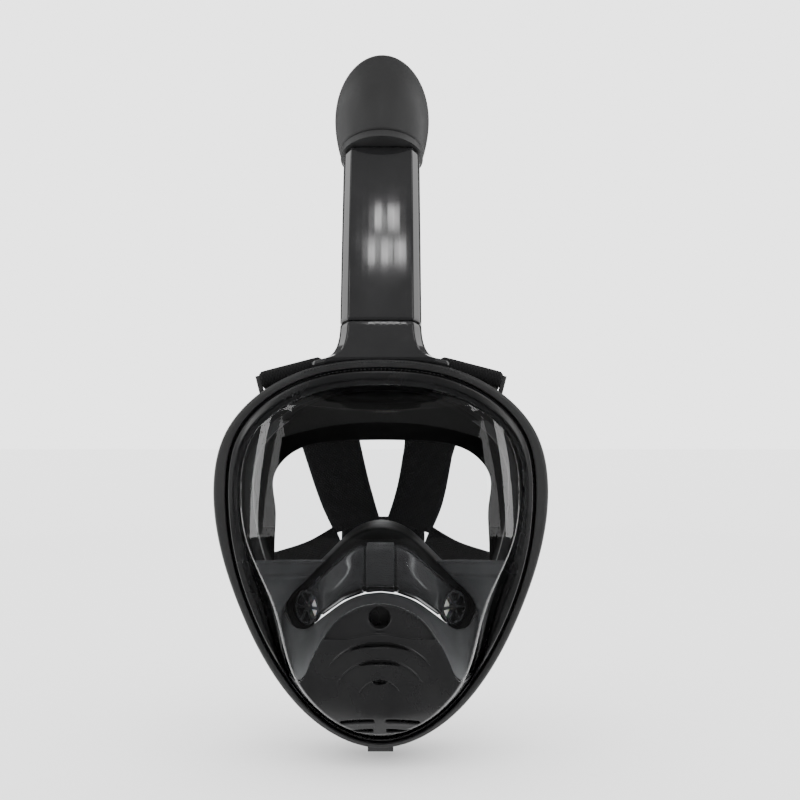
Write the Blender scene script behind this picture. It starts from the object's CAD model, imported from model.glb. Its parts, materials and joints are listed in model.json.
import json
from math import cos, pi, radians, sin, sqrt

import bmesh
import bpy
import numpy as np
from mathutils import Matrix, Vector


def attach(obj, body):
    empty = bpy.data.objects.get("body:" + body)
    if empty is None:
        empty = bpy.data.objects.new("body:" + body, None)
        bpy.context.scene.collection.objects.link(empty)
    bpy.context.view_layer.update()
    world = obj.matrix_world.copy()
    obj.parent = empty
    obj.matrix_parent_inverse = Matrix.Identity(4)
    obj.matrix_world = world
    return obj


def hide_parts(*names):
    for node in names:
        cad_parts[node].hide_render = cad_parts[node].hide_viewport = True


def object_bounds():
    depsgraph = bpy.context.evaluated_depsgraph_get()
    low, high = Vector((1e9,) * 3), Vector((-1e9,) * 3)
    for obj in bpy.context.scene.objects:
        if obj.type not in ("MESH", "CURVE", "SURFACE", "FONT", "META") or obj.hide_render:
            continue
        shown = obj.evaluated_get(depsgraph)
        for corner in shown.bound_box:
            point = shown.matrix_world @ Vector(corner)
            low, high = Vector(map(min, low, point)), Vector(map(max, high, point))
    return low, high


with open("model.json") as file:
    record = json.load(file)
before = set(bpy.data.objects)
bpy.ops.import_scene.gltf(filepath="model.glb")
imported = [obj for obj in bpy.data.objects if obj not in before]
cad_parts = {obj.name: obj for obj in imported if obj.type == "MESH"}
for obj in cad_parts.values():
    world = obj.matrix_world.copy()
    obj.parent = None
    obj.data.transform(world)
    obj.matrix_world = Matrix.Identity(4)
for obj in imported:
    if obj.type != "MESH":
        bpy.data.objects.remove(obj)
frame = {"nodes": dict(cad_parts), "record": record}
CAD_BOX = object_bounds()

# Lengths are in millimetres unless a name says otherwise, and become metres when a mesh is made.
MM = 0.001

# ---------------------------------------------------------------- driving dimensions, as in the CAD frame
OUTLINE = [(0, 91), (27, 88.5), (46, 82), (63, 70.5), (74.5, 55.5), (80, 30), (76.5, 1),
           (66.5, -28), (50, -58.5), (27.5, -81.5), (0, -91)]
LENS_PLANE = [(0, 74), (30, 73.5), (49, 68), (58, 52), (59.5, 27), (57, 8), (48, -10), (41, -28),
              (37, -46), (30, -61), (17, -73), (0, -77)]
WAVE = [(0, -18.9), (10, -20.8), (18.2, -25.6), (23.6, -32), (29, -41), (32.8, -50), (35.4, -55.2),
        (38, -56.8), (41.5, -56.5)]
FACE_OPENING = [(0, 52), (25, 51), (44.8, 45.6), (55, 32), (54, 19), (54.3, 0), (46, -40), (28, -60),
                (0, -70)]
POCKET = [(0, 13), (12, 9.5), (22, 1), (36, -13), (45.5, -25), (41, -38), (33, -54), (20, -65), (0, -69)]
NOSE_TOP = [(0, 6.2), (7, 5.9), (12, 4.8), (16, 2.4), (28, -9), (40, -21.5), (43, -24.5)]
NOSE_BOTTOM = [(0, -17.0), (8, -17.9), (17, -21.6), (26, -28.5), (33, -34.6), (37, -35.0), (41, -31.5),
               (43, -24.6)]
RIM_AXIS_Y = 220
FACE_AXIS_Y = 146
OPENING_MIDDLE_Z = 5
BAND_BACK, BAND_FRONT = -46, -60      # the frame's matte outer band
LENS_BACK_Y = -53.5                   # where the lens and the chin cover end, under the bezel
LENS_RIM_Y, LENS_PLANE_Y = -56, -96
LENS_AXIS_Y, LENS_RADIUS, LENS_RADIUS_UP, LENS_MIDDLE_Z = 59.5, 150, 243, 5
FACET_Z, FACET_Y, FACET_SLOPE = 78.8, -58, 11.3 / 23.9
NOSE_RADIUS, NOSE_AXIS_Y = 50, -16
VALVE_X, VALVE_Z, VALVE_HOLE_R = 34.6, -26, 8.1
CAMERA_Z = -25.6
SOCKET_TOP = np.array([0, -40, 106.5])
SOCKET_TILT = radians(15)
SOCKET_FRONT_Y = -44.5
TUBE_LENGTH, TUBE_BEND, TUBE_WALL = 92, 573, 2.3
TUBE_HALF, SPIGOT_HALF = (19.5, 13), (16.4, 9.9)
CAP_HEIGHT, CAP_BASE_R, CAP_R, CAP_WIDEST = 61, 21.3, 24, 24
UPPER_BAR, UPPER_SLOPE = (43.3, -37, 85.3), radians(14.5)
LOWER_BAR, LOWER_LEAN = (67.4, -32, -19), radians(20)


# ---------------------------------------------------------------- curves and outlines
def smooth(t):
    """A soft step from 0 to 1."""
    t = np.clip(t, 0, 1)
    return t * t * (3 - 2 * t)


def bump(distance, width):
    """A soft hill of height 1, nothing beyond its half width."""
    return 1 - smooth(np.abs(distance) / width)


def spline(points, closed=False):
    """Evaluator of the cubic curve through points, from 0 to 1 along its chords."""
    p = np.array(points, float)
    n = len(p)
    step = np.linalg.norm((np.roll(p, -1, axis=0) - p)[:n if closed else n - 1], axis=1)
    matrix, right = np.eye(n), np.zeros(p.shape)
    for i in range(n) if closed else range(1, n - 1):
        back, ahead = step[i - 1], step[i]
        matrix[i, i] = 2 * (back + ahead)
        matrix[i, i - 1] += back
        matrix[i, (i + 1) % n] += ahead
        right[i] = 6 * ((p[(i + 1) % n] - p[i]) / ahead - (p[i] - p[i - 1]) / back)
    bend = np.linalg.solve(matrix, right)
    knots = np.concatenate([[0], np.cumsum(step)])

    def at(u):
        s = (np.asarray(u, float) % 1 if closed else np.clip(u, 0, 1)) * knots[-1]
        i = np.clip(np.searchsorted(knots, s, side="right") - 1, 0, len(step) - 1)
        j, h = (i + 1) % n, step[i]
        b = (s - knots[i]) / h
        a = 1 - b
        curl_a, curl_b = (a ** 3 - a) * h ** 2 / 6, (b ** 3 - b) * h ** 2 / 6
        return a[:, None] * p[i] + b[:, None] * p[j] + curl_a[:, None] * bend[i] + curl_b[:, None] * bend[j]
    return at


def mirrored(half):
    """A closed list of points from the right half of a symmetric outline."""
    return half + [(-x, z) for x, z in reversed(half[1:-1])]


def even(points, count):
    """The same line, resampled at even steps of length."""
    points = np.asarray(points, float)
    s = np.concatenate([[0], np.cumsum(np.linalg.norm(np.diff(points, axis=0), axis=1))])
    t = np.linspace(0, s[-1], count)
    return np.column_stack([np.interp(t, s, points[:, k]) for k in range(points.shape[1])])


def frame_width(z):
    """Width of the frame seen from the front."""
    return 5 + 7 * smooth((z + 70) / 48)


def band_width(z):
    """Width of the frame's matte outer band."""
    return 3.6 + 2.6 * np.exp(-((z - 28) / 38) ** 2) - 1.1 * smooth((-60 - z) / 30)


AROUND = 420
TURNS = np.arange(AROUND) / AROUND
_base = spline(mirrored(OUTLINE), closed=True)
EDGE = _base(TURNS)
_along = _base(TURNS + 1e-4) - _base(TURNS - 1e-4)
_along /= np.linalg.norm(_along, axis=1)[:, None]
INWARD = np.column_stack([_along[:, 1], -_along[:, 0]])


def inset_line(inset):
    """The frame's outline moved inwards, by a number or a function of height."""
    depth = inset(EDGE[:, 1]) if callable(inset) else np.full(AROUND, float(inset))
    return EDGE + INWARD * depth[:, None]


def wrapped(x, y, axis_y=RIM_AXIS_Y):
    """Depth of the wrapped surface that lies at depth y in the middle."""
    return axis_y - np.sqrt((axis_y - y) ** 2 - x * x)


def polar(points, centre_z):
    """Angles and distances of a closed outline about a point on the plane of symmetry, for interpolation."""
    angle = np.arctan2(points[:, 0], points[:, 1] - centre_z)
    order = np.argsort(angle)
    return angle[order], np.hypot(points[:, 0], points[:, 1] - centre_z)[order]


def reach(table, angle):
    """Distance to the outline at each angle."""
    return np.interp(angle, table[0], table[1], period=2 * pi)


# ---------------------------------------------------------------- the lens and chin surface
RIM = inset_line(lambda z: frame_width(z) + 0.3)
WALL_CENTRE_Z = -2
RIM_TABLE = polar(RIM, WALL_CENTRE_Z)
PLANE_TABLE = polar(spline(mirrored(LENS_PLANE), closed=True)(TURNS), WALL_CENTRE_Z)


def soft_max(a, b, k):
    """The larger of two, rounded over where they cross."""
    h = np.clip(k - np.abs(a - b), 0, None) / k
    return np.maximum(a, b) + h * h * k / 4


def cover_depth(x, z, skin=0.0):
    """Depth of the outside of the lens and chin cover, moved in by skin."""
    rise = LENS_RADIUS_UP - np.sqrt(LENS_RADIUS_UP ** 2 - (z - LENS_MIDDLE_Z) ** 2)
    front = LENS_AXIS_Y - np.sqrt((LENS_RADIUS - rise - skin) ** 2 - x * x)
    angle, far = np.arctan2(x, z - WALL_CENTRE_Z), np.hypot(x, z - WALL_CENTRE_Z)
    rim, plane = reach(RIM_TABLE, angle), reach(PLANE_TABLE, angle)
    wall = LENS_RIM_Y + (LENS_PLANE_Y - LENS_RIM_Y) * (rim - skin - far) / np.maximum(rim - plane, 1.2)
    facet = FACET_Y + (z + skin - FACET_Z) / FACET_SLOPE
    corner = 3.0 + 4 * smooth((-50 - z) / 25)
    return soft_max(soft_max(front, wall, corner), facet, 1.0)


# ---------------------------------------------------------------- meshes
def grid_faces(rows, cols, around, through):
    """Quads over a grid of points, closed along rows, or across them, or not."""
    i = np.arange(rows if through else rows - 1)[:, None]
    j = np.arange(cols if around else cols - 1)[None, :]
    ahead, across = (i + 1) % rows, (j + 1) % cols
    quads = np.stack([i * cols + j, i * cols + across, ahead * cols + across, ahead * cols + j], axis=-1)
    return quads.reshape(-1, 4).tolist()


def add_object(name, mesh):
    """An object in the scene that shows a mesh."""
    obj = bpy.data.objects.new(name, mesh)
    bpy.context.scene.collection.objects.link(obj)
    return obj


def flat_mesh(name, verts, faces):
    """A mesh from plain lists of points and faces."""
    mesh = bpy.data.meshes.new(name)
    mesh.from_pydata(verts, [], faces)
    return mesh


def grid_mesh(name, grid, through=True, close=False):
    """Object over a grid of points in millimetres, closed round each row."""
    faces = grid_faces(*grid.shape[:2], True, through)
    obj = add_object(name, flat_mesh(name, (grid.reshape(-1, 3) * MM).tolist(), faces))
    tidy_mesh(obj, close=close)
    return obj


def tidy_mesh(obj, merge=0.0, close=False):
    """Joins doubled points, closes open ends and turns every face outwards."""
    bm = bmesh.new()
    bm.from_mesh(obj.data)
    if merge:
        bmesh.ops.remove_doubles(bm, verts=bm.verts, dist=merge * MM)
        bmesh.ops.dissolve_degenerate(bm, edges=bm.edges, dist=1e-6)
    bmesh.ops.recalc_face_normals(bm, faces=bm.faces)
    if close:
        bmesh.ops.holes_fill(bm, edges=[e for e in bm.edges if e.is_boundary], sides=0)
        bmesh.ops.recalc_face_normals(bm, faces=bm.faces)
    bm.to_mesh(obj.data)
    bm.free()


def apply_modifiers(obj):
    """Bakes an object's modifiers into its mesh."""
    bpy.context.view_layer.update()
    depsgraph = bpy.context.evaluated_depsgraph_get()
    mesh = bpy.data.meshes.new_from_object(obj.evaluated_get(depsgraph))
    obj.modifiers.clear()
    obj.data = mesh


def shell(name, outer, inner, around=False, middle=False):
    """Closed shell between two grids of points; a middle means that the first rows shrink to one point."""
    rows, cols = outer.shape[:2]
    verts = np.concatenate([outer.reshape(-1, 3), inner.reshape(-1, 3)]) * MM
    faces = grid_faces(rows, cols, around, False)
    faces += [[v + rows * cols for v in quad] for quad in faces]
    rims = [[r * cols + c for c in range(cols)] + ([r * cols] if around else [])
            for r in ((rows - 1,) if middle else (0, rows - 1))]
    if not around:
        rims += [[r * cols + c for r in range(rows)] for c in (0, cols - 1)]
    for rim in rims:
        faces += [[a, b, b + rows * cols, a + rows * cols] for a, b in zip(rim, rim[1:])]
    obj = add_object(name, flat_mesh(name, verts.tolist(), faces))
    tidy_mesh(obj, 0.002)
    return obj


def cut(obj, cutters):
    """Takes other shapes out of a piece."""
    for cutter in cutters:
        tool = obj.modifiers.new("cut", "BOOLEAN")
        tool.operation, tool.solver, tool.object = "DIFFERENCE", "EXACT", cutter
    apply_modifiers(obj)
    for cutter in cutters:
        bpy.data.objects.remove(cutter)


def cutting_tool(matrix, make, **sizes):
    """A shape to cut with, made by a mesh operator and put in place."""
    bm = bmesh.new()
    make(bm, **sizes)
    mesh = bpy.data.meshes.new("tool")
    bm.to_mesh(mesh)
    bm.free()
    obj = add_object("tool", mesh)
    obj.matrix_world = matrix
    return obj


def finish_piece(obj, body, nodes, slot, normals=True):
    """The slot's material, soft shading, body and stand-in for a finished mesh."""
    obj.data.materials.clear()
    obj.data.materials.append(LOOK[slot])
    obj.data.polygons.foreach_set("use_smooth", [True] * len(obj.data.polygons))
    if normals:
        weighted = obj.modifiers.new("normals", "WEIGHTED_NORMAL")
        weighted.keep_sharp = True
        weighted.weight = 60
    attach(obj, body)
    if nodes:
        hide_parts(*nodes)
    return obj


def rounded_section(corners, steps=4):
    """Closed section from corners (inset, depth, radius), the inset a number or a function of height."""
    spots = []
    for inset, y, r in corners:
        depth = inset(EDGE[:, 1]) if callable(inset) else np.full(AROUND, float(inset))
        spots.append((np.column_stack([depth, np.full(AROUND, float(y))]), r))
    rows = []
    for k, (p, r) in enumerate(spots):
        before, after = spots[k - 1][0] - p, spots[(k + 1) % len(spots)][0] - p
        a = p + before / np.linalg.norm(before, axis=1)[:, None] * r
        b = p + after / np.linalg.norm(after, axis=1)[:, None] * r
        for t in np.linspace(0, 1, steps + 1):
            rows.append((1 - t) ** 2 * a + 2 * t * (1 - t) * p + t * t * b)
    return rows


def swept_ring(name, corners):
    """Ring swept round the frame, from a section of (inset, depth, radius) corners."""
    rings = []
    for row in rounded_section(corners):
        line = EDGE + INWARD * row[:, :1]
        rings.append(np.column_stack([line[:, 0], wrapped(line[:, 0], row[:, 1]), line[:, 1]]))
    return grid_mesh(name, np.array(rings))


# ---------------------------------------------------------------- materials
def shader(name):
    """A new material, its node tree and its main shader."""
    material = bpy.data.materials.new(name)
    material.use_nodes = True
    return material, material.node_tree, material.node_tree.nodes["Principled BSDF"]


def feed(tree, node, inputs):
    """Gives each input of a node a link from a socket, or a plain value."""
    for key, value in inputs.items():
        if isinstance(value, bpy.types.NodeSocket):
            tree.links.new(value, node.inputs[key])
        else:
            node.inputs[key].default_value = value


def add_node(tree, kind, inputs, **settings):
    """A new node with its settings and inputs."""
    node = tree.nodes.new("ShaderNode" + kind)
    for key, value in settings.items():
        setattr(node, key, value)
    feed(tree, node, inputs)
    return node


def object_noise(tree, scale, detail, stretch=(1, 1, 1)):
    """Noise fixed to the object."""
    coords = add_node(tree, "TexCoord", {})
    mapping = add_node(tree, "Mapping", {"Vector": coords.outputs["Object"], "Scale": stretch})
    noise = add_node(tree, "TexNoise", {"Vector": mapping.outputs["Vector"], "Scale": scale, "Detail": detail,
                                        "Roughness": 0.55})
    return noise.outputs["Fac"]


def remap(tree, value, low, high, start=0.3, end=0.7):
    """A value stretched to a new range."""
    ranges = {"From Min": start, "From Max": end, "To Min": low, "To Max": high}
    return add_node(tree, "MapRange", {"Value": value, **ranges}).outputs["Result"]


def arith(tree, operation, *values):
    """One step of arithmetic on sockets or numbers."""
    return add_node(tree, "Math", dict(enumerate(values)), operation=operation).outputs[0]


def blend_colour(tree, factor, first, second):
    """Two colours mixed by a factor, each a socket or three numbers."""
    first, second = (end if isinstance(end, bpy.types.NodeSocket) else (*end, 1) for end in (first, second))
    return add_node(tree, "Mix", {0: factor, 6: first, 7: second}, data_type="RGBA").outputs[2]


def add_bump(tree, target, height, strength, distance):
    """Fine relief under a shader, or under another relief."""
    node = add_node(tree, "Bump", {"Strength": strength, "Distance": distance, "Height": height})
    feed(tree, target, {"Normal": node.outputs["Normal"]})
    return node


def moulded(name, colour, rough, grain=0.02, grain_scale=1500, ripple=0.0, spread=0.08, ior=1.46):
    """Moulded plastic: fine grain, slow changes of gloss, faint flow marks and paler rubbed edges."""
    material, tree, bsdf = shader(name)
    slow = object_noise(tree, 38, 4)
    marks = object_noise(tree, 210, 5, (1, 1, 0.25))
    tint = blend_colour(tree, remap(tree, slow, 0, 1), colour, [c * 1.35 for c in colour])
    edges = remap(tree, add_node(tree, "NewGeometry", {}).outputs["Pointiness"], 0, 0.55, 0.56, 0.68)
    dull = remap(tree, slow, rough - spread, rough + spread)
    feed(tree, bsdf, {"Base Color": blend_colour(tree, edges, tint, [min(1, c * 2.6 + 0.01) for c in colour]),
                      "Roughness": arith(tree, "ADD", dull, remap(tree, marks, -spread / 3, spread / 3)),
                      "IOR": ior})
    fine = add_bump(tree, bsdf, object_noise(tree, grain_scale, 2), grain, 0.00008)
    if ripple:
        add_bump(tree, fine, object_noise(tree, 26, 2, (1, 1, 0.5)), ripple, 0.0006)
    return material


def silicone(name, colour, rough, sheen=0.0, translucent=0.0, ior=1.42, gradient=0.0):
    """Soft silicone rubber: a little dusty, with a faint skin texture; may be paler towards its foot."""
    material, tree, bsdf = shader(name)
    dust = remap(tree, object_noise(tree, 90, 5), 0, 1)
    tint = blend_colour(tree, dust, colour, [c * 1.3 + 0.0004 for c in colour])
    if gradient:
        coords = add_node(tree, "TexCoord", {})
        height = add_node(tree, "SeparateXYZ", {0: coords.outputs["Object"]}).outputs["Z"]
        foot = remap(tree, height, 1, 0, -0.055, -0.012)
        tint = blend_colour(tree, foot, tint, [c + gradient for c in colour])
    feed(tree, bsdf, {"Base Color": tint, "IOR": ior, "Sheen Weight": sheen, "Sheen Roughness": 0.5,
                      "Roughness": remap(tree, object_noise(tree, 60, 3), rough - 0.07, rough + 0.07),
                      "Subsurface Weight": translucent, "Subsurface Scale": 0.002})
    add_bump(tree, bsdf, object_noise(tree, 2800, 2), 0.03, 0.00005)
    return material


def clear_plastic(name):
    """Clear polycarbonate: see-through face on, mirror-like at a glance, with faint haze and slow waves."""
    material, tree, bsdf = shader(name)
    tree.nodes.remove(bsdf)
    clear = add_node(tree, "BsdfTransparent", {"Color": (0.965, 0.972, 0.975, 1)})
    gloss = add_node(tree, "BsdfGlossy", {"Roughness": remap(tree, object_noise(tree, 45, 4), 0.012, 0.03)})
    outside = arith(tree, "SUBTRACT", 1.0, add_node(tree, "NewGeometry", {}).outputs["Backfacing"])
    share = arith(tree, "MULTIPLY", add_node(tree, "Fresnel", {"IOR": 1.46}).outputs[0], outside)
    mix = add_node(tree, "MixShader", {0: share, 1: clear.outputs[0], 2: gloss.outputs[0]})
    add_bump(tree, gloss, object_noise(tree, 30, 2), 0.06, 0.0003)
    feed(tree, tree.nodes["Material Output"], {"Surface": mix.outputs[0]})
    return material


def webbing(name, colour, pitch):
    """Woven elastic: rows of yarns crossing, with fuzz and sheen. Reads the strap's own width and length."""
    material, tree, bsdf = shader(name)
    uv = add_node(tree, "UVMap", {}, uv_map="strap")
    split = add_node(tree, "SeparateXYZ", {0: uv.outputs[0]})
    rows = arith(tree, "SINE", arith(tree, "MULTIPLY", split.outputs["X"], pitch))
    yarns = arith(tree, "SINE", arith(tree, "MULTIPLY", split.outputs["Y"], pitch * 0.62))
    cross = remap(tree, arith(tree, "MULTIPLY", rows, yarns), 0, 1, -1, 1)
    height = arith(tree, "ADD", cross, remap(tree, object_noise(tree, 1600, 3), 0, 0.5))
    tint = blend_colour(tree, remap(tree, height, 0, 1, 0.2, 1.3), colour, [c * 1.9 + 0.001 for c in colour])
    feed(tree, bsdf, {"Base Color": tint, "Roughness": 0.95, "IOR": 1.25, "Sheen Weight": 0.02,
                      "Sheen Roughness": 0.6})
    add_bump(tree, bsdf, height, 0.7, 0.00035)
    return material


def steel(name):
    """Brushed stainless."""
    material, tree, bsdf = shader(name)
    brushed = object_noise(tree, 900, 3, (1, 0.1, 1))
    feed(tree, bsdf, {"Base Color": blend_colour(tree, brushed, (0.45, 0.45, 0.46), (0.66, 0.66, 0.67)),
                      "Metallic": 1, "Roughness": remap(tree, brushed, 0.22, 0.42)})
    add_bump(tree, bsdf, brushed, 0.15, 0.00005)
    return material


def all_materials():
    """One material for each slot of the record."""
    return {
        "frame_matte": moulded("frame_matte", (0.008, 0.008, 0.0083), 0.5, grain=0.12, grain_scale=2600),
        "bezel_gloss": moulded("bezel_gloss", (0.005, 0.005, 0.0052), 0.24, ripple=0.06),
        "clear_lens": clear_plastic("clear_lens"),
        "black_silicone": silicone("black_silicone", (0.0008, 0.0008, 0.0009), 0.6, ior=1.3),
        "smoke_silicone": silicone("smoke_silicone", (0.02, 0.02, 0.021), 0.6, ior=1.22, gradient=0.045),
        "grey_silicone": silicone("grey_silicone", (0.75, 0.75, 0.75), 0.5, sheen=0.25, translucent=0.2),
        "nose_gloss": moulded("nose_gloss", (0.012, 0.012, 0.0125), 0.2, ripple=0.12, ior=1.55),
        "chin_gloss": moulded("chin_gloss", (0.0075, 0.0075, 0.0078), 0.26, ripple=0.05),
        "tube_gloss": moulded("tube_gloss", (0.008, 0.008, 0.0083), 0.1, ripple=0.07, spread=0.03),
        "cap_satin": moulded("cap_satin", (0.009, 0.009, 0.0093), 0.55, grain=0.06),
        "valve_plastic": moulded("valve_plastic", (0.03, 0.03, 0.031), 0.4, grain=0.03),
        "float_plastic": moulded("float_plastic", (0.45, 0.45, 0.44), 0.45, grain=0.03),
        "screw_steel": steel("screw_steel"),
        "spring_steel": steel("spring_steel"),
        "strap_fabric": webbing("strap_fabric", (0.0022, 0.0022, 0.0024), 4300),
        "pad_fabric": webbing("pad_fabric", (0.004, 0.004, 0.0042), 3600),
    }


LOOK = all_materials()


def dress_cad():
    """Every carried-over CAD node gets its slot's material."""
    for entry in frame["record"]["subparts"]:
        node = frame["nodes"].get(entry["node"])
        if node is None:
            continue
        node.data.materials.clear()
        node.data.materials.append(LOOK[entry["material_slot"]])


# ---------------------------------------------------------------- frame
def rear_frame():
    """Matte outer band of the frame and the plate that clamps the skirt."""
    obj = swept_ring("rear_frame_shell", [
        (0, BAND_BACK, 1.2), (0, BAND_FRONT, 2.0), (band_width, BAND_FRONT, 0.7), (band_width, -48.8, 0.3),
        (lambda z: frame_width(z) - 2.2, -48.8, 0.3), (lambda z: frame_width(z) - 2.2, BAND_BACK, 0.4)])
    finish_piece(obj, "mask", ["rear_frame"], "frame_matte")


def front_bezel():
    """Glossy inner rim, stepped towards the lens."""
    obj = swept_ring("front_bezel_shell", [
        (lambda z: band_width(z) + 0.15, -54, 0.1), (lambda z: band_width(z) + 0.15, -57, 0.1),
        (lambda z: band_width(z) + 1.6, -57, 0.3), (lambda z: band_width(z) + 1.6, -61.6, 0.8),
        (lambda z: band_width(z) + 0.45 * (frame_width(z) - band_width(z)) + 1.2, -62.2, 0.5),
        (lambda z: band_width(z) + 0.62 * (frame_width(z) - band_width(z)) + 1.0, -60.9, 0.25),
        (lambda z: frame_width(z) - 0.35, -60.4, 0.25), (frame_width, -58.8, 0.3), (frame_width, -54, 0.2)])
    finish_piece(obj, "mask", ["front_bezel"], "bezel_gloss")


# ---------------------------------------------------------------- lens and chin cover
def wave_curve(count):
    """The edge between lens and chin cover, from the wearer's right lobe to the left lobe."""
    points = spline([(-x, z) for x, z in reversed(WAVE[1:])] + WAVE)(np.linspace(0, 1, 600))
    start = RIM[left_lobe_index()] * (-1, 1)
    return even(np.vstack([start, points, start * (-1, 1)]), count)


def left_lobe_index():
    """Place on the rim, on the +X side, level with the end of the wave edge."""
    side = np.arange(AROUND // 4, AROUND // 2)
    return side[np.argmin(np.abs(RIM[side, 1] - WAVE[-1][1]))]


LENS_CENTRE = np.array([0.0, 28.0])


def lens():
    """Clear lens: rings from the middle out to the rim above the wave edge, then back under the bezel."""
    k = left_lobe_index()
    rim = np.roll(RIM, k, axis=0)[:2 * k + 1]
    loop = np.vstack([rim, wave_curve(260)[::-1][1:-1]])
    back_y = wrapped(loop[:, 0], LENS_BACK_Y)
    outer, inner = [], []
    for share in np.concatenate([np.linspace(0, 0.86, 60), np.linspace(0.87, 1, 56)]):
        x, z = (LENS_CENTRE + (loop - LENS_CENTRE) * share).T
        outer.append(np.column_stack([x, cover_depth(x, z), z]))
        inner.append(np.column_stack([x, np.minimum(cover_depth(x, z, 2.2), back_y), z]))
    back = outer[-1].copy()
    back[:len(rim), 1] = back_y[:len(rim)] - 0.01
    outer, inner = np.array(outer + [back]), np.array(inner + [inner[-1] + (0, 0.005, 0)])
    obj = shell("lens_shell", outer, inner, around=True, middle=True)
    finish_piece(obj, "mask", ["lens"], "clear_lens")


LOUVRES = ((-36.4, 24.2, -49.5, 8.5), (-44.6, 20.5, -57.3, 6.0), (-54.2, 9.5, -60.5, 2.0))
SLOT_ROWS = ((-74.0, 2.4, 18.5, -1.2), (-78.8, 2.8, 13.8, -0.8), (-81.9, 2.8, 9.2, -0.5))


def louvre_relief(x, z):
    """Overhanging arched louvres: a dark slot at the crown, a thin raised edge down each side."""
    relief = np.zeros_like(x)
    for crown, half, foot, black in LOUVRES:
        u = np.clip(np.abs(x) / half, 0, 1)
        line = crown + (foot - crown) * (1 - np.cos(u * pi / 2) ** 0.9) * (0.55 + 0.45 * u)
        inside = np.abs(x) < half
        below = line - z
        shade = np.clip(1 - np.abs(x) / (black * 1.55), 0, 1)
        width = 0.35 + 1.55 * np.sqrt(shade)
        slot = smooth((below + 0.1) / 0.25) * (1 - smooth((below - width) / 0.9))
        relief += np.where(inside, slot * 3.4 * shade ** 0.35, 0)
        fall = np.exp(-np.clip(below, 0, None) / 2.6) * (below > 0)
        relief += np.where(inside, fall * 0.9 * smooth((1 - u) * 6), 0)
        relief -= np.where(inside, bump(below + 0.35, 0.7) * 0.35 * smooth((1 - u) * 5), 0)
    return relief


def slot_relief(x, z):
    """Paired drain slots above the bottom edge."""
    relief = np.zeros_like(x)
    for level, start, end, drop in SLOT_ROWS:
        along = (np.abs(x) - start) / (end - start)
        centre = level + drop * np.clip(along, 0, 1) ** 2
        reach_in = smooth(along * 14) * smooth((1 - along) * 14)
        relief += bump(z - centre, 0.85) * reach_in * 3.2
        relief -= bump(z - centre + 1.3, 1.1) * reach_in * 0.25
    return relief


def arch_relief(x, z, below_wave):
    """Dark recessed panel under the top of the wave edge, round the camera socket."""
    foot = -33.2 - 2.6 * smooth(np.abs(x) / 17)
    panel = smooth((below_wave - 0.7) / 0.5) * smooth((z - foot) / 0.6)
    hole = 1 - smooth((np.hypot(x, z - CAMERA_Z) - 4.75) / 0.3)
    return panel * 1.4 + hole * 9


def chin_cover():
    """Opaque chin cover: columns from the wave edge down to the frame."""
    columns, rows = 300, 230
    k = left_lobe_index()
    top = wave_curve(columns) - np.array([0, 0.15])
    bottom = even(RIM[k:AROUND - k + 1][::-1], columns)
    share = np.linspace(0, 1, rows) ** 0.94
    flat = top[None] + (bottom - top)[None] * share[:, None, None]
    x, z = flat[..., 0], flat[..., 1]
    below = np.linalg.norm(flat - top[None], axis=2)
    relief = (louvre_relief(x, z) + slot_relief(x, z) + arch_relief(x, z, below)) * smooth(below / 0.6)
    front = cover_depth(x, z) + relief + 0.9 * (1 - smooth(below / 0.7))
    back_y = wrapped(bottom[:, 0], LENS_BACK_Y)
    rear = np.minimum(cover_depth(x, z, 1.8) + relief, np.maximum(back_y, front + 0.4))
    edge = np.column_stack([bottom[:, 0], back_y - 0.01, bottom[:, 1]])[None]
    outer = np.concatenate([np.stack([x, front, z], axis=-1), edge])
    inner = np.concatenate([np.stack([x, rear, z], axis=-1), edge + (0, 0.01, 0)])
    obj = shell("chin_cover_shell", outer, inner)
    finish_piece(obj, "mask", ["chin_cover"], "chin_gloss", normals=False)


def camera_socket():
    """Blind round socket behind the chin cover."""
    angles = np.arange(72) / 72 * 2 * pi
    profile = [(6.4, -77.0), (6.4, -86.3), (6.0, -86.8), (5.1, -86.8), (4.85, -86.4), (4.85, -78.6),
               (4.2, -77.6), (0.3, -71.0), (0.3, -70.0)]
    rings = [np.column_stack([r * np.sin(angles), np.full(72, y), CAMERA_Z + r * np.cos(angles)])
             for r, y in profile]
    obj = grid_mesh("camera_socket_shell", np.array(rings))
    finish_piece(obj, "mask", ["camera_socket"], "chin_gloss", normals=False)


def top_serration():
    """Two rows of small teeth along the top of the frame, at the foot of the snorkel's neck."""
    verts, faces = [], []
    for inset, pitch, reach_x, height in ((0.9, 1.5, 37, 0.45), (4.6, 1.9, 30, 0.4)):
        line = inset_line(inset)
        top = line[line[:, 1] > 60]
        top = top[np.argsort(top[:, 0])]
        for x in np.arange(-reach_x, reach_x + 0.1, pitch):
            z = float(np.interp(x, top[:, 0], top[:, 1]))
            tilt = float(np.interp(x + 1, top[:, 0], top[:, 1])) - z
            y = float(wrapped(np.array(x), BAND_FRONT))
            start = len(verts)
            for dy, grow in ((0.6, 1.0), (-height, 0.55)):
                for du, dv in ((-1, -1), (1, -1), (1, 1), (-1, 1)):
                    u, v = du * 0.42 * grow, dv * 0.36 * grow
                    verts.append(((x + u) * MM, (y + dy) * MM, (z + v + u * tilt) * MM))
            faces += [[start + i for i in quad] for quad in
                      ((4, 5, 6, 7), (0, 1, 5, 4), (1, 2, 6, 5), (2, 3, 7, 6), (3, 0, 4, 7), (3, 2, 1, 0))]
    obj = add_object("frame_serration", flat_mesh("frame_serration", verts, faces))
    tidy_mesh(obj)
    finish_piece(obj, "mask", [], "bezel_gloss", normals=False)


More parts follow.
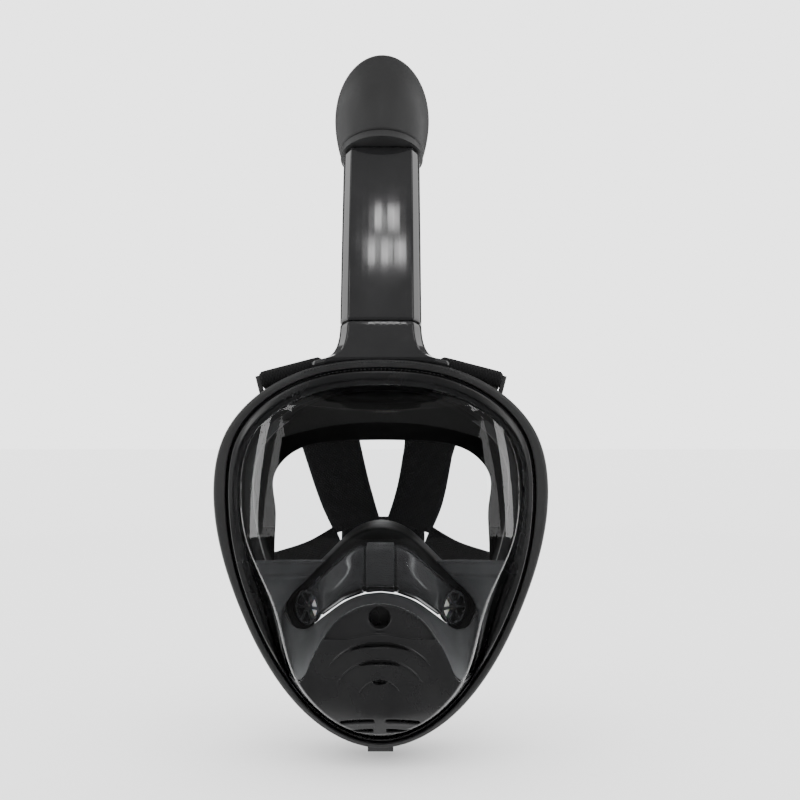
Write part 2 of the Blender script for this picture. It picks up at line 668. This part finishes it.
# ---------------------------------------------------------------- skirt, pocket and nose
def skirt_wall(y):
    """Inset of the outside of the skirt's wall at a depth: a smooth curve through three depths."""
    z = EDGE[:, 1]
    spots = ((-53, frame_width(z) - 2), (-28, frame_width(z) - 1), (2, np.full(AROUND, 17.5)))
    total = 0
    for i, (yi, inset) in enumerate(spots):
        weight = 1.0
        for j, (yj, _) in enumerate(spots):
            if i != j:
                weight = weight * (y - yj) / (yi - yj)
        total = total + inset * weight
    return total


def skirt_ring(inset, y):
    """One ring of the skirt; y is an array of depths."""
    line = EDGE + INWARD * np.broadcast_to(inset, (AROUND,))[:, None]
    return np.column_stack([line[:, 0], np.broadcast_to(y, (AROUND,)), line[:, 1]])


def face_skirt():
    """Silicone skirt: flange, wall with a soft fold, and the lip round the face opening."""
    z = EDGE[:, 1]
    width = frame_width(z)
    flange = np.maximum(width - 6, band_width(z) + 0.3)
    side = np.abs(EDGE[:, 0])
    opening = polar(spline(mirrored(FACE_OPENING), closed=True)(TURNS), OPENING_MIDDLE_Z)
    angle = np.arctan2(EDGE[:, 0], EDGE[:, 1] - OPENING_MIDDLE_Z)
    far = reach(opening, angle)
    hole = np.column_stack([np.sin(angle) * far, OPENING_MIDDLE_Z + np.cos(angle) * far])
    flange_back, flange_front = wrapped(side, -48.9), wrapped(side, -50.9)
    rings = [skirt_ring(flange, flange_back), skirt_ring(flange, flange_front)]
    rings.append(skirt_ring(width + 0.2, flange_front))
    face = wrapped(side * 0.86, -16.5, FACE_AXIS_Y)
    front = wrapped(side, -49)
    for t in np.linspace(0.06, 1, 12):
        y = front + (face - front) * t
        rings.append(skirt_ring(skirt_wall(y) + 2 - 0.5 * np.sin(t * pi) ** 2, y))
    lip_front = rings[-1]
    y = face + 2.4
    lip_back = skirt_ring(skirt_wall(y) + 0.2, y)
    edge = np.column_stack([hole[:, 0], wrapped(hole[:, 0], -15.6, FACE_AXIS_Y), hole[:, 1]])
    for t in (0.12, 0.3, 0.55, 0.8, 0.95):
        ring = lip_front + (edge - lip_front) * t
        ring[:, 1] -= 1.2 * np.sin(t * pi)
        rings.append(ring)
    rings.append(edge)
    for t in (0.04, 0.2, 0.45, 0.7, 0.88):
        ring = edge + (lip_back - edge) * t
        ring[:, 1] += 0.9 * np.sin(t * pi) + 0.5
        rings.append(ring)
    rings.append(lip_back)
    for t in np.linspace(0.96, 0.04, 12):
        y = front + (face - front) * t
        rings.append(skirt_ring(skirt_wall(y) + 0.1, y))
    rings.append(skirt_ring(width - 1.9, flange_back))
    obj = grid_mesh("face_skirt_soft", np.array(rings))
    finish_piece(obj, "mask", ["face_skirt"], "black_silicone")


def nose_depth(x, lift=0.0):
    """Depth of the nose cover's cylinder, raised outwards by lift."""
    return NOSE_AXIS_Y - np.sqrt(np.clip((NOSE_RADIUS + lift) ** 2 - x * x, 100, None))


def nose_pocket():
    """Soft pocket round the nose and mouth, rolled in towards the nose cover."""
    line = spline(mirrored(POCKET), closed=True)(TURNS)
    centre = np.array([0, -22.0])
    seat = np.minimum(nose_depth(line[:, 0], -2), -50.0)
    rings = []

    def ring(scale, y):
        flat = centre + (line - centre) * np.broadcast_to(scale, (AROUND,))[:, None]
        rings.append(np.column_stack([flat[:, 0], y, flat[:, 1]]))

    face = wrapped(line[:, 0], -17.2, FACE_AXIS_Y)
    for scale, t in ((0.945, 0.0), (0.965, 0.0), (0.985, 0.06), (1.0, 0.16), (1.0, 0.4), (1.0, 0.65),
                     (1.0, 0.86), (0.99, 0.96), (0.965, 1.0)):
        ring(scale, face + (seat - face) * t)
    upper = smooth((line[:, 1] + 48) / 14)
    for scale, lift in ((0.9, -2.0), (0.82, -2.4), (0.72, -2.6)):
        y = nose_depth(line[:, 0] * scale, lift)
        ring(scale + (0.94 - scale) * (1 - upper), y * upper + (seat + 1) * (1 - upper))
    for scale, t in ((0.93, 0.9), (0.94, 0.6), (0.945, 0.3), (0.935, 0.08)):
        ring(scale, face + (seat - face) * t)
    obj = grid_mesh("nose_pocket_soft", np.array(rings))
    finish_piece(obj, "mask", ["nose_pocket"], "black_silicone")


def nose_cover():
    """Glossy chevron shell: flat bridge between domed cheeks, rolled at its edges, open at the valves."""
    columns, rows = 260, 90
    x = np.linspace(-42.9, 42.9, columns)
    top = np.interp(np.abs(x), *np.array(NOSE_TOP).T)
    low = np.interp(np.abs(x), *np.array(NOSE_BOTTOM).T)
    kernel = np.hanning(15) / np.hanning(15).sum()
    top = np.convolve(np.pad(top, 7, "edge"), kernel, "valid")
    low = np.minimum(np.convolve(np.pad(low, 7, "edge"), kernel, "valid"), top - 0.4)
    v = np.linspace(0, 1, rows)[:, None]
    z = low + (top - low) * v
    xx = np.broadcast_to(x, z.shape)
    side = np.abs(xx)
    near = np.minimum(top - z, z - low)
    cheek = np.sin(np.clip((side - 7.0) / 25, 0, 1) * pi) ** 0.7 * np.sin(np.clip(v * 1.04, 0, 1) * pi) ** 0.8
    hollow = np.exp(-((side - 19) / 6.5) ** 2 - ((z + 7.5 + (side - 19) * 0.55) / 5.0) ** 2)
    bridge = smooth((6.9 - side) / 0.7)
    lift = 3.6 * cheek - 1.7 * hollow + 1.3 * bridge - 0.9 * bump(side - 7.1, 0.8)
    lift -= 3.0 * (1 - smooth(near / 3.4)) * (1 - 0.35 * bridge)
    ledge = smooth((-14.0 - z) / 0.9) * smooth((11.5 + z * 0.18 - side) / 0.9)
    lift -= 2.2 * ledge
    flat = bump(np.hypot((side - VALVE_X) * 1.35, z - VALVE_Z), 13)
    lift = lift * (1 - 0.85 * flat)
    outer = np.stack([xx, nose_depth(xx, lift), z], axis=-1)
    inner = np.stack([xx, nose_depth(xx, lift - 1.6), z], axis=-1)
    obj = shell("nose_cover_shell", outer, inner)
    cut(obj, [valve_tool(side) for side in (1, -1)])
    finish_piece(obj, "mask", ["nose_cover"], "nose_gloss", normals=False)


def valve_tool(side):
    """Round bar through an inhale valve, along the cover's normal."""
    turn = np.arcsin(VALVE_X / NOSE_RADIUS) * side
    spot = Vector((NOSE_RADIUS * sin(turn), NOSE_AXIS_Y - NOSE_RADIUS * cos(turn), VALVE_Z)) * MM
    out = Vector((sin(turn), -cos(turn), 0))
    place = Matrix.Translation(spot) @ out.to_track_quat("Z", "Y").to_matrix().to_4x4()
    radius = VALVE_HOLE_R * MM
    return cutting_tool(place, bmesh.ops.create_cone, cap_ends=True, segments=64, radius1=radius,
                        radius2=radius, depth=30 * MM)


# From the nose outwards to the lens, right half, top to middle:
# ((x, z) inside, (x, or None on the lens wall, z) outside)
WEB_SPANS = [((25.5, -3), (None, -3)), ((30, -7.5), (None, -9)), ((38, -16), (None, -21)),
             ((46.5, -24.5), (None, -33)), ((45, -31), (None, -44)), ((41.5, -35.4), (None, -52)),
             ((37.5, -37), (37.4, -56.4)),
             ((31, -33.4), (33.2, -51.5)), ((24, -27.4), (28.6, -41)), ((17, -22.2), (21.8, -30.2)),
             ((9, -18.6), (12, -22)), ((0, -17.2), (0, -19.2))]


def wall_place(z, y):
    """Where the inside of the lens wall is at a height and depth."""
    x = np.linspace(20, 75, 400)
    return float(np.interp(y, cover_depth(x, np.full_like(x, z), 2.5), x))


def cheek_partition():
    """Smoke-grey web from the lens wall and the wave edge in to the nose pocket, a ledge along its top."""
    inner, outer = [], []
    for (xi, zi), (xo, zo) in WEB_SPANS:
        yi = min(float(nose_depth(np.array(xi), -0.5)), -50)
        if xo is None:
            yo = -61 - 5 * float(smooth(np.array((-20 - zo) / 36)))
            xo = wall_place(zo, yo)
        else:
            yo = float(cover_depth(np.array(xo), np.array(zo), 1.6))
        inner.append((xi, yi, zi))
        outer.append((xo, yo, zo))
    t = np.linspace(0, 1, 130)
    inner, outer = spline(inner)(t), spline(outer)(t)
    flip = np.array([-1, 1, 1])
    inner = np.vstack([inner, (inner * flip)[::-1][1:]])
    outer = np.vstack([outer, (outer * flip)[::-1][1:]])
    share = np.linspace(0, 1, 40)[:, None, None]
    grid = inner[None] + (outer - inner)[None] * share
    grid[..., 1] += 1.6 * np.sin(share[..., 0] * pi) * smooth((grid[..., 2] + 60) / 20)
    ledge = bump(grid[..., 2] + 11, 1.0) * 0.8 - bump(grid[..., 2] + 3.6, 1.2) * 0.9
    grid[..., 1] += ledge
    obj = shell("cheek_web", grid, grid + (0, 1.2, 0))
    finish_piece(obj, "mask", ["left_cheek_partition", "right_cheek_partition"],
                 "smoke_silicone", normals=False)


# ---------------------------------------------------------------- snorkel
def lean(turn):
    """Unit vectors of a leaning section: along the axis and towards its back."""
    return np.array([0, sin(turn), cos(turn)]), np.array([0, cos(turn), -sin(turn)])


def tube_spot(s):
    """Middle of the tube at a distance along its curve, and its lean."""
    turn = SOCKET_TILT + s / TUBE_BEND
    y = SOCKET_TOP[1] + TUBE_BEND * (cos(SOCKET_TILT) - cos(turn))
    z = SOCKET_TOP[2] + TUBE_BEND * (sin(turn) - sin(SOCKET_TILT))
    return np.array([0, y, z]), turn


def soft_polygon(corners, steps=6):
    """Closed polygon of (u, v, radius) corners with rounded corners."""
    out = []
    for k, (u, v, r) in enumerate(corners):
        p = np.array([u, v], float)
        before, after = np.array(corners[k - 1][:2]) - p, np.array(corners[(k + 1) % len(corners)][:2]) - p
        a, b = p + before / np.linalg.norm(before) * r, p + after / np.linalg.norm(after) * r
        out += [(1 - t) ** 2 * a + 2 * t * (1 - t) * p + t * t * b for t in np.linspace(0, 1, steps + 1)]
    return np.array(out)


def crowned_section(face, half_w, half_d, crown):
    """Section with a gently crowned front, crisp front corners, chamfered flanks and a soft back."""
    front = [(face * u, -half_d + crown * u * u, 0.35) for u in (0, 0.2, 0.4, 0.6, 0.8)]
    side = [(face, -half_d + crown, 0.9), (half_w, -0.52 * half_d, 2.4), (half_w, 0.56 * half_d, 2.8)]
    right = front + side + [(0.76 * half_w, half_d - 0.2, 2.2), (0, half_d, 0.5)]
    return soft_polygon(right + [(-u, v, r) for u, v, r in reversed(right[1:-1])])


def tube_section(half_w, half_d, shrink=0.0):
    """Section of the tube, moved in by a distance."""
    return crowned_section(0.79 * half_w - shrink * 0.6, half_w - shrink, half_d - shrink, 0.42)


def place_section(section, spot, turn):
    """A flat section put in space at a spot, leaning back by turn."""
    return spot + section[:, :1] * np.array([1.0, 0, 0]) + section[:, 1:] * lean(turn)[1]


def socket_section(section, height):
    """A flat section put in space at a height along the socket's axis, from the socket's top."""
    return place_section(section, SOCKET_TOP + lean(SOCKET_TILT)[0] * height, SOCKET_TILT)


def rectangle(half_w, half_d, radius):
    """Corners of a rectangle, each with its radius."""
    return [(half_w, -half_d, radius), (half_w, half_d, radius), (-half_w, half_d, radius),
            (-half_w, -half_d, radius)]


def snorkel_tube():
    """Curved tube with softened ends and its plug-in spigot."""
    rings = []
    steps = [(0.0, 1.5), (0.15, 0.7), (0.6, 0.15), (1.4, 0)] + [(s, 0) for s in np.linspace(3, 89.5, 34)]
    steps += [(91.0, 0.1), (91.7, 0.5), (92.0, 1.4)]
    steps += [(s, TUBE_WALL) for s in np.linspace(91.5, 3, 14)]
    for s, shrink in steps:
        half_w, half_d = (half - 0.5 * s / TUBE_LENGTH for half in TUBE_HALF)
        rings.append(place_section(tube_section(half_w, half_d, shrink), *tube_spot(s)))
    obj = grid_mesh("snorkel_tube_shell", np.array(rings))
    finish_piece(obj, "snorkel", ["snorkel_tube"], "tube_gloss")
    spigot = soft_polygon(rectangle(*SPIGOT_HALF, 4), 12)
    bore = spigot * (14.2 / SPIGOT_HALF[0], 7.7 / SPIGOT_HALF[1])
    walls = [socket_section(spigot, d) for d in (1.2, -2, -8, -14.4, -15.2)]
    walls.append(socket_section(spigot * 0.975, -15.5))
    walls += [socket_section(bore, d) for d in (-15.5, -8, 1.2)]
    plug = grid_mesh("snorkel_spigot", np.array(walls))
    cut(plug, [button_tool()])
    finish_piece(plug, "snorkel", [], "tube_gloss")


def button_tool():
    """Box through the back of the spigot, round the release button."""
    axis, back = lean(SOCKET_TILT)
    place = Matrix.Translation(Vector((SOCKET_TOP - axis * 6.5 + back * 9) * MM))
    turn = Matrix.Rotation(-SOCKET_TILT, 4, "X")
    size = Matrix.Diagonal((0.0116, 0.005, 0.0098, 1))
    return cutting_tool(place @ turn @ size, bmesh.ops.create_cube, size=1)


def neck_section(half_w):
    """Section of the neck: as the tube, its front widening with the flare."""
    return crowned_section(15.4 + 0.8 * (half_w - 19.5), half_w, 13.1, 0.42)


def frame_top(x):
    """Height of the frame's outer edge above a sideways place."""
    top = EDGE[EDGE[:, 1] > 40]
    order = np.argsort(top[:, 0])
    return np.interp(x, top[order, 0], top[order, 1])


def snorkel_socket():
    """Neck that flares into the top of the frame, hollow for the spigot."""
    flare = ((-0.9, 19.55), (-3, 19.6), (-6, 19.9), (-9, 20.5), (-11.5, 21.3), (-13.5, 22.4), (-15, 23.6),
             (-16.2, 25.2), (-17.2, 27.2), (-18, 29.8), (-18.7, 32.8))
    rings = [socket_section(neck_section(half_w), d) for d, half_w in flare]
    foot = rings[-1].copy()
    ahead = foot[:, 1] < SOCKET_FRONT_Y
    foot[:, 2] = np.where(ahead, frame_top(foot[:, 0]) - 0.6, np.maximum(foot[:, 2] - 4, 82.2))
    for ring in rings[-3:]:
        least = np.where(ring[:, 1] < SOCKET_FRONT_Y, frame_top(ring[:, 0]) - 0.3, 0)
        ring[:, 2] = np.maximum(ring[:, 2], least)
    mouth = mouth_matched(soft_polygon(rectangle(16.8, 10.3, 4), 16))
    lip = socket_section(neck_section(19.3) * 0.97, -0.3)
    inner = [socket_section(mouth * 0.9, -16.0)] + [socket_section(mouth, d) for d in (-16.0, -8, -1.2)]
    inner.append(socket_section(mouth * 1.02, -0.3))
    obj = grid_mesh("snorkel_neck", np.array([lip] + rings + [foot] + inner))
    finish_piece(obj, "mask", ["snorkel_socket"], "tube_gloss")


def mouth_matched(points):
    """A closed section with as many points as the neck's, each in the same direction from the middle."""
    points = even(np.vstack([points, points[:1]]), 600)
    angle = np.arctan2(points[:, 0], -points[:, 1])
    order = np.argsort(angle)
    angle, far = angle[order], np.hypot(points[:, 0], points[:, 1])[order]
    target = neck_section(19.5)
    turn = np.arctan2(target[:, 0], -target[:, 1])
    radius = np.interp(turn, angle, far, period=2 * pi)
    return np.column_stack([np.sin(turn) * radius, -np.cos(turn) * radius])


def cap_radius(h):
    """Outer radius of the float cap at a height above the tube's end."""
    if h < CAP_WIDEST:
        t = (h - 4) / (CAP_WIDEST - 4)
        return CAP_BASE_R + (CAP_R - CAP_BASE_R) * sin(t * pi / 2) ** 0.9
    return CAP_R * sqrt(max(0, 1 - ((h - CAP_WIDEST) / (CAP_HEIGHT - CAP_WIDEST)) ** 2))


def float_cap():
    """Domed cap, wide below its middle, with air windows at its back."""
    around = 180
    heights = [4.0, 4.1, 4.5, 5.2] + list(np.linspace(6, CAP_WIDEST, 20))
    heights += [CAP_WIDEST + (CAP_HEIGHT - CAP_WIDEST) * sin(t) for t in np.linspace(0.06, pi / 2, 34)]
    spot, turn = tube_spot(TUBE_LENGTH)
    axis, back = lean(turn)
    angles = np.arange(around) / around * 2 * pi
    out = np.cos(angles)[:, None] * np.array([1.0, 0, 0]) + np.sin(angles)[:, None] * back
    outer, inner = [], []
    for h in reversed(heights):
        r = cap_radius(h) - (0.9 if h == 4.0 else 0.35 if h == 4.1 else 0.0)
        outer.append(spot + axis * h + r * out)
        drop = 2.0 * smooth((h - CAP_WIDEST) / (CAP_HEIGHT - CAP_WIDEST))
        inner.append(spot + axis * (h - drop) + max(r - 2.0, 0) * out)
    obj = shell("float_cap_shell", np.array(outer), np.array(inner), True, True)
    cut(obj, [cap_window(spot, axis, back, radians(46 + 22 * i)) for i in range(5)])
    finish_piece(obj, "snorkel", ["float_cap"], "cap_satin", normals=False)


def cap_window(spot, axis, back, angle):
    """Box that cuts one air window."""
    out = cos(angle) * np.array([1.0, 0, 0]) + sin(angle) * back
    turn = Matrix((tuple(out), tuple(np.cross(axis, out)), tuple(axis))).transposed().to_4x4()
    place = Matrix.Translation(Vector((spot + axis * 14.5 + out * 21) * MM))
    size = Matrix.Diagonal((0.012, 0.005, 0.013, 1))
    return cutting_tool(place @ turn @ size, bmesh.ops.create_cube, size=1)


# ---------------------------------------------------------------- harness
def ribbon(name, centres, across, widths, thickness):
    """Flat woven strap along a line: rounded edges, raised selvedges and its own width-and-length map."""
    along = np.gradient(centres, axis=0)
    along /= np.linalg.norm(along, axis=1)[:, None]
    across = across - along * np.sum(across * along, axis=1)[:, None]
    across /= np.linalg.norm(across, axis=1)[:, None]
    out = np.cross(along, across)
    u = np.concatenate([np.linspace(-1, 1, 25), np.linspace(1, -1, 25)])
    face = np.concatenate([np.ones(25), -np.ones(25)])
    edge = np.sqrt(np.clip(1 - np.abs(u) ** 14, 0, 1)) * 0.5
    edge += 0.05 * bump(np.abs(u) - 0.93, 0.04)
    rings = []
    for k, centre in enumerate(centres):
        offset = across[k] * (u * widths[k] / 2)[:, None] + out[k] * (face * edge * thickness)[:, None]
        rings.append(centre + offset)
    obj = grid_mesh(f"{name}_webbing", np.array(rings), through=False, close=True)
    length = np.concatenate([[0], np.cumsum(np.linalg.norm(np.diff(centres, axis=0), axis=1))]) * MM
    layer = obj.data.uv_layers.new(name="strap")
    for loop in obj.data.loops:
        i, j = divmod(loop.vertex_index, len(u))
        layer.data[loop.index].uv = (u[j] * widths[i] / 2 * MM, length[i])
    finish_piece(obj, "mask", [f"{name}_strap"], "strap_fabric", normals=False)


UPPER_ROUTES = {
    "upper_left": [((39.5, -12, 81), (1, 0.1, -0.26), 30), ((31, 8, 69), (1, 0.2, -0.3), 31),
             ((24, 25, 44), (1, 0.1, -0.3), 26), ((19, 35.5, 18), (1, 0, -0.2), 26),
             ((14, 41, 4), (1, 0, 0), 25)],
    "upper_right": [((-39.5, -12, 81), (1, -0.1, 0.26), 30), ((-33, 8, 69), (1, 0, 0.3), 32),
              ((-26, 25, 44), (1, 0, 0.2), 30), ((-19, 35.5, 18), (1, 0, 0.1), 28),
              ((-14, 41, 4), (1, 0, 0), 26)],
}


def strap_path(loop, across0, stations, width0):
    """Centres, cross directions and widths along a strap that starts round its bar."""
    keys = [(p, across0, width0) for p in loop] + stations
    t = np.linspace(0, 1, 260)
    centres = spline([k[0] for k in keys])(t)
    table = np.array([list(k[1]) + [k[2]] for k in keys], float)
    s = np.concatenate([[0], np.cumsum(np.linalg.norm(np.diff([k[0] for k in keys], axis=0), axis=1))])
    mixed = np.column_stack([np.interp(t * s[-1], s, table[:, c]) for c in range(4)])
    return centres, mixed[:, :3], mixed[:, 3]


def upper_strap(name, side):
    """Strap folded round the bar behind the top of the frame and led back to the pad."""
    along = np.array([cos(UPPER_SLOPE), 0, -side * sin(UPPER_SLOPE)])
    up = np.array([side * sin(UPPER_SLOPE), 0, cos(UPPER_SLOPE)])
    bar = np.array([side * UPPER_BAR[0], UPPER_BAR[1], UPPER_BAR[2]])
    back = np.array([0, 1.0, 0])
    tail = [bar + back * 21 - up * 5.6, bar + back * 12 - up * 4.9]
    angles = np.radians([75, 120, 165, 210, 255, 290])
    loop = tail + [bar + 3.1 * (cos(a) * back - sin(a) * up) for a in angles] + [bar + back * 8 + up * 1.8]
    centres, across, widths = strap_path(loop, along, UPPER_ROUTES[name], 31)
    ribbon(name, centres, across, widths, 2.3)


def lower_strap(name, side):
    """Narrow strap from its bar at the side of the frame to the pad."""
    bar = np.array([side * LOWER_BAR[0], LOWER_BAR[1], LOWER_BAR[2]])
    lean_out = np.array([side * sin(LOWER_LEAN), 0, cos(LOWER_LEAN)])
    back, out = np.array([0, 1.0, 0]), np.array([side * cos(LOWER_LEAN), 0, -sin(LOWER_LEAN)])
    loop = [bar + 2.6 * (cos(a) * back + sin(a) * out) for a in np.radians([60, 110, 160, 205, 245])]
    start, end = bar + (0, 3, 0), np.array([side * 51.5, 12, -16])
    run = [start + (end - start) * t for t in (0.06, 0.3, 0.6, 0.9)]
    stations = [(p, tuple(lean_out), 20) for p in run]
    stations += [((side * 36, 29, -12), (0, 0.1, 1), 20), ((side * 23, 39.5, -5), (0, 0, 1), 20)]
    centres, across, widths = strap_path(loop, tuple(lean_out), stations, 20)
    ribbon(name, centres, across, widths, 1.9)


def back_pad():
    """Crowned pad with a stitched border, where the four straps meet."""
    half_w, half_h, mid = 22.6, 11.7, np.array([0, 44.7, -3])
    angles = np.arange(160) / 160 * 2 * pi
    round_w = np.sign(np.cos(angles)) * np.abs(np.cos(angles)) ** 0.55 * half_w
    round_h = np.sign(np.sin(angles)) * np.abs(np.sin(angles)) ** 0.55 * half_h
    shares = np.linspace(0.02, 1, 40)
    rings = []
    for face in (-1, 1):
        for s in shares if face < 0 else shares[::-1]:
            puff = 1.8 * (1 - s ** 5) ** 0.6 - 0.55 * bump(s - 0.84, 0.05)
            puff = max(puff, 0.05) + 0.12 * np.cos(angles * 2) * (1 - s)
            rings.append(np.column_stack([mid[0] + round_w * s, mid[1] + face * puff, mid[2] + round_h * s]))
    obj = grid_mesh("back_pad_soft", np.array(rings), through=False, close=True)
    layer = obj.data.uv_layers.new(name="strap")
    for loop in obj.data.loops:
        spot = obj.data.vertices[loop.vertex_index].co
        layer.data[loop.index].uv = (spot.x, spot.z)
    finish_piece(obj, "mask", ["back_pad"], "pad_fabric", normals=False)


# ---------------------------------------------------------------- studio
def floor():
    """Pale floor under the mask."""
    mesh = flat_mesh("floor", [(-4, -4, 0), (4, -4, 0), (4, 4, 0), (-4, 4, 0)], [(0, 1, 2, 3)])
    obj = add_object("floor", mesh)
    obj.location = (0, 0, CAD_BOX[0][2] - 0.004)
    material, tree, bsdf = shader("floor_white")
    feed(tree, bsdf, {"Base Color": blend_colour(tree, object_noise(tree, 3, 2), (0.9,) * 3, (0.882,) * 3),
                      "Roughness": 0.9})
    mesh.materials.append(material)


def card(name, centre, size, strength, aim=(0, 0, 0.06)):
    """A studio card that only reflections see: a lit panel, or a dark flag when its strength is low."""
    w, h = size[0] / 2, size[1] / 2
    mesh = flat_mesh(name, [(-w, -h, 0), (w, -h, 0), (w, h, 0), (-w, h, 0)], [(0, 1, 2, 3)])
    obj = add_object(name, mesh)
    obj.location = centre
    obj.rotation_euler = (Vector(aim) - Vector(centre)).to_track_quat("Z", "Y").to_euler()
    material, tree, bsdf = shader(name)
    tree.nodes.remove(bsdf)
    glow = add_node(tree, "Emission", {"Color": (1, 1, 1, 1), "Strength": strength})
    feed(tree, tree.nodes["Material Output"], {"Surface": glow.outputs[0]})
    mesh.materials.append(material)
    for kind in ("camera", "shadow", "diffuse", "transmission"):
        setattr(obj, f"visible_{kind}", False)


def panel(name, elevation, azimuth, size, strength):
    """A card seen from the snorkel tube at an elevation and an azimuth from straight ahead, in degrees."""
    e, a = radians(elevation), radians(azimuth)
    spot = Vector((0, -0.045, 0.155))
    card(name, spot + 1.5 * Vector((sin(a) * cos(e), -cos(a) * cos(e), sin(e))), size, strength, spot)


def studio():
    """White surroundings, dark flags ahead, overhead and at the sides, small ceiling and strip lights."""
    world = bpy.data.worlds.new("studio")
    bpy.context.scene.world = world
    world.use_nodes = True
    feed(world.node_tree, world.node_tree.nodes["Background"], {"Color": (1, 1, 1, 1), "Strength": 3.0})
    card("flag_front", (0, -1.7, 0.1), (3.0, 1.5), 0.03)
    card("flag_low", (0, -0.9, -0.088), (2.4, 1.62), 0.2, (0, -0.9, 1))
    card("flag_top_front", (0, -1.35, 1.45), (3.2, 1.5), 0.45)
    card("flag_top", (0, 0.1, 1.9), (3.2, 2.0), 0.5)
    card("flag_top_back", (0, 1.25, 1.55), (3.2, 1.2), 0.2)
    for side in (-1, 1):
        card(f"flag_side_{side}", (side * 1.75, -0.55, 0.45), (1.9, 2.2), 0.5)
        card(f"flag_back_{side}", (side * 0.62, 0.95, 0.36), (0.8, 0.88), 0.25, (side * 0.07, 0, 0.36))
        card(f"strip_{side}", (side * 1.25, -1.05, 0.25), (0.1, 1.3), 9.0)
        card(f"low_strip_{side}", (side * 0.75, -0.8, 0.75), (0.16, 0.3), 6.0)
    for elevation, azimuths in ((49, (-2.1, 3.3)), (43.4, (-4.0, 0.7, 5.4))):
        for azimuth in azimuths:
            panel(f"lamp_{elevation}_{azimuth}", elevation, azimuth, (0.045, 0.1), 26.0)


def camera():
    """Level camera in front of the mask, a little above its middle."""
    data = bpy.data.cameras.new("camera")
    data.lens, data.sensor_width = 61.6, 36
    obj = add_object("camera", data)
    obj.location = (0.00916, -0.700, 0.072)
    obj.rotation_euler = (pi / 2, 0, 0)
    bpy.context.scene.camera = obj


dress_cad()
rear_frame()
front_bezel()
lens()
chin_cover()
camera_socket()
top_serration()
face_skirt()
nose_pocket()
nose_cover()
cheek_partition()
snorkel_socket()
snorkel_tube()
float_cap()
for name, side in (("left", 1), ("right", -1)):
    upper_strap(f"upper_{name}", side)
    lower_strap(f"lower_{name}", side)
back_pad()
floor()
studio()
camera()
